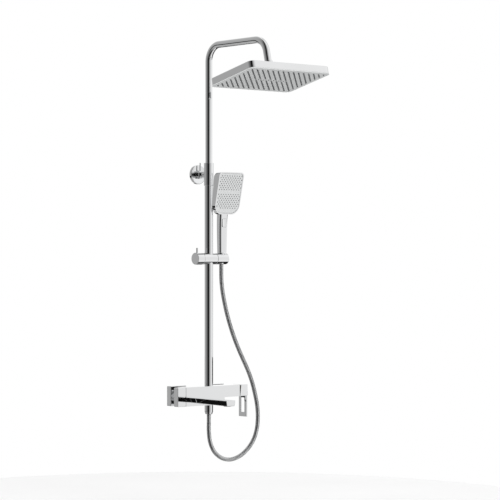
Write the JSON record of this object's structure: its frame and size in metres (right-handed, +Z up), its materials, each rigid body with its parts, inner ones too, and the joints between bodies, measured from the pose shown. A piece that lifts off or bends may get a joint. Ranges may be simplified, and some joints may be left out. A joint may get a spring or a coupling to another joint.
{
  "type": "rainfall shower column",
  "caption": "Wall-mounted chrome shower column with a square bar mixer, bath spout, telescopic riser, tilting overhead rain shower, hand shower on a slider, and metal hose.",
  "frame": {"origin": "on the wall plane, midway between the two water inlets and level with them", "axes": "+Z up along the riser, -Y out from the wall towards the person showering, +X to the right seen from the front"},
  "size_m": [0.3587, 0.4443, 1.2951],
  "materials": {
    "chrome": "polished",
    "steel": "satin",
    "brass": "machined",
    "pale_plastic": "fine satin",
    "grey_silicone": "matte",
    "black_rubber": "matte",
    "dark_plastic": "satin",
    "hose_steel": "polished"
  },
  "bodies": {
    "root": {"wall_rosette_left": "chrome", "wall_rosette_right": "chrome", "inlet_union_left": "brass", "inlet_union_right": "brass", "union_nut_left": "chrome", "union_nut_right": "chrome", "inlet_washer_left": "black_rubber", "inlet_washer_right": "black_rubber", "mixer_body": "chrome", "mixer_cartridge": "dark_plastic", "cartridge_nut": "brass", "diverter_cartridge": "dark_plastic", "bath_spout": "chrome", "spout_aerator": "steel", "riser_base_seal": "black_rubber", "riser_lower_tube": "chrome", "height_lock_sleeve": "chrome", "sleeve_wiper_ring": "black_rubber", "height_lock_collet": "dark_plastic", "bracket_cover": "chrome", "bracket_wall_plate": "steel", "bracket_screw_upper": "steel", "bracket_screw_lower": "steel", "bracket_arm": "chrome", "bracket_lock_pin": "chrome", "hose_outlet_nipple": "brass", "hose_washer_lower": "black_rubber", "hose_nut_lower": "chrome", "shower_hose": "hose_steel"},
    "lever_spindle": {"lever_spindle": "brass"},
    "lever": {"mixer_lever": "chrome", "lever_pivot_pin": "steel"},
    "diverter": {"diverter_knob": "chrome", "diverter_spindle": "brass"},
    "riser_guide": {"riser_guide": "dark_plastic"},
    "arm": {"riser_upper_tube": "chrome", "arm_collar": "chrome"},
    "head_ball": {"head_ball": "chrome"},
    "overhead_head": {"head_ball_nut": "chrome", "head_shell": "chrome", "head_face": "pale_plastic", "head_nozzle_mat": "grey_silicone"},
    "slider": {"slider_body": "chrome", "slider_bush": "dark_plastic", "slider_clamp_pad": "black_rubber", "holder_pivot": "steel"},
    "clamp_knob": {"slider_knob": "chrome", "slider_knob_pin": "chrome", "slider_clamp_screw": "steel"},
    "holder": {"handset_holder": "chrome"},
    "hand_shower": {"handset_shell": "chrome", "handset_face": "pale_plastic", "handset_nozzle_mat": "grey_silicone", "button_spring": "steel", "handset_connector": "steel", "hose_nut_upper": "chrome", "hose_washer_upper": "black_rubber"},
    "spray_button": {"handset_button": "chrome"}
  },
  "joints": [
    {"name": "lever_temperature", "type": "hinge", "parent": "root", "child": "lever_spindle", "pos_m": [0.121, -0.058, 0.011], "axis": [1, 0, 0], "range_deg": [-30, 30]},
    {"name": "lever_flow", "type": "hinge", "parent": "lever_spindle", "child": "lever", "pos_m": [0.129, -0.058, 0.022], "axis": [0, -1, 0], "range_deg": [0, 20]},
    {"name": "diverter_turn", "type": "hinge", "parent": "root", "child": "diverter", "pos_m": [-0.104, -0.068, 0], "axis": [1, 0, 0], "range_deg": [-90, 90]},
    {"name": "riser_height", "type": "slide", "parent": "root", "child": "riser_guide", "axis": [0, 0, 1], "range_m": [-0.1, 0.1]},
    {"name": "arm_swivel", "type": "hinge", "parent": "riser_guide", "child": "arm", "pos_m": [0.013, -0.058, 0.7], "axis": [0, 0, 1], "range_deg": [-45, 45]},
    {"name": "head_swivel", "type": "hinge", "parent": "arm", "child": "head_ball", "pos_m": [0.013, -0.34087, 0.98363], "axis": [0, 0.225, 0.9744], "range_deg": [-90, 90]},
    {"name": "head_tilt", "type": "hinge", "parent": "head_ball", "child": "overhead_head", "pos_m": [0.013, -0.34087, 0.98363], "axis": [1, 0, 0], "range_deg": [-12, 12]},
    {"name": "slider_height", "type": "slide", "parent": "root", "child": "slider", "axis": [0, 0, 1], "range_m": [-0.25, 0.2], "deforming": ["shower_hose"]},
    {"name": "clamp_turn", "type": "hinge", "parent": "slider", "child": "clamp_knob", "pos_m": [-0.03, -0.058, 0.42], "axis": [1, 0, 0], "range_deg": [-90, 90]},
    {"name": "holder_tilt", "type": "hinge", "parent": "slider", "child": "holder", "pos_m": [0.05, -0.058, 0.42], "axis": [1, 0, 0], "range_deg": [0, 35]},
    {"name": "hand_swivel", "type": "hinge", "parent": "holder", "child": "hand_shower", "pos_m": [0.06, -0.061, 0.42], "axis": [0, 0, 1], "range_deg": [0, 40]},
    {"name": "spray_button_press", "type": "slide", "parent": "hand_shower", "child": "spray_button", "axis": [0, 1, 0], "range_m": [0, 0.0018], "stiffness_N_per_m": 1200}
  ]
}
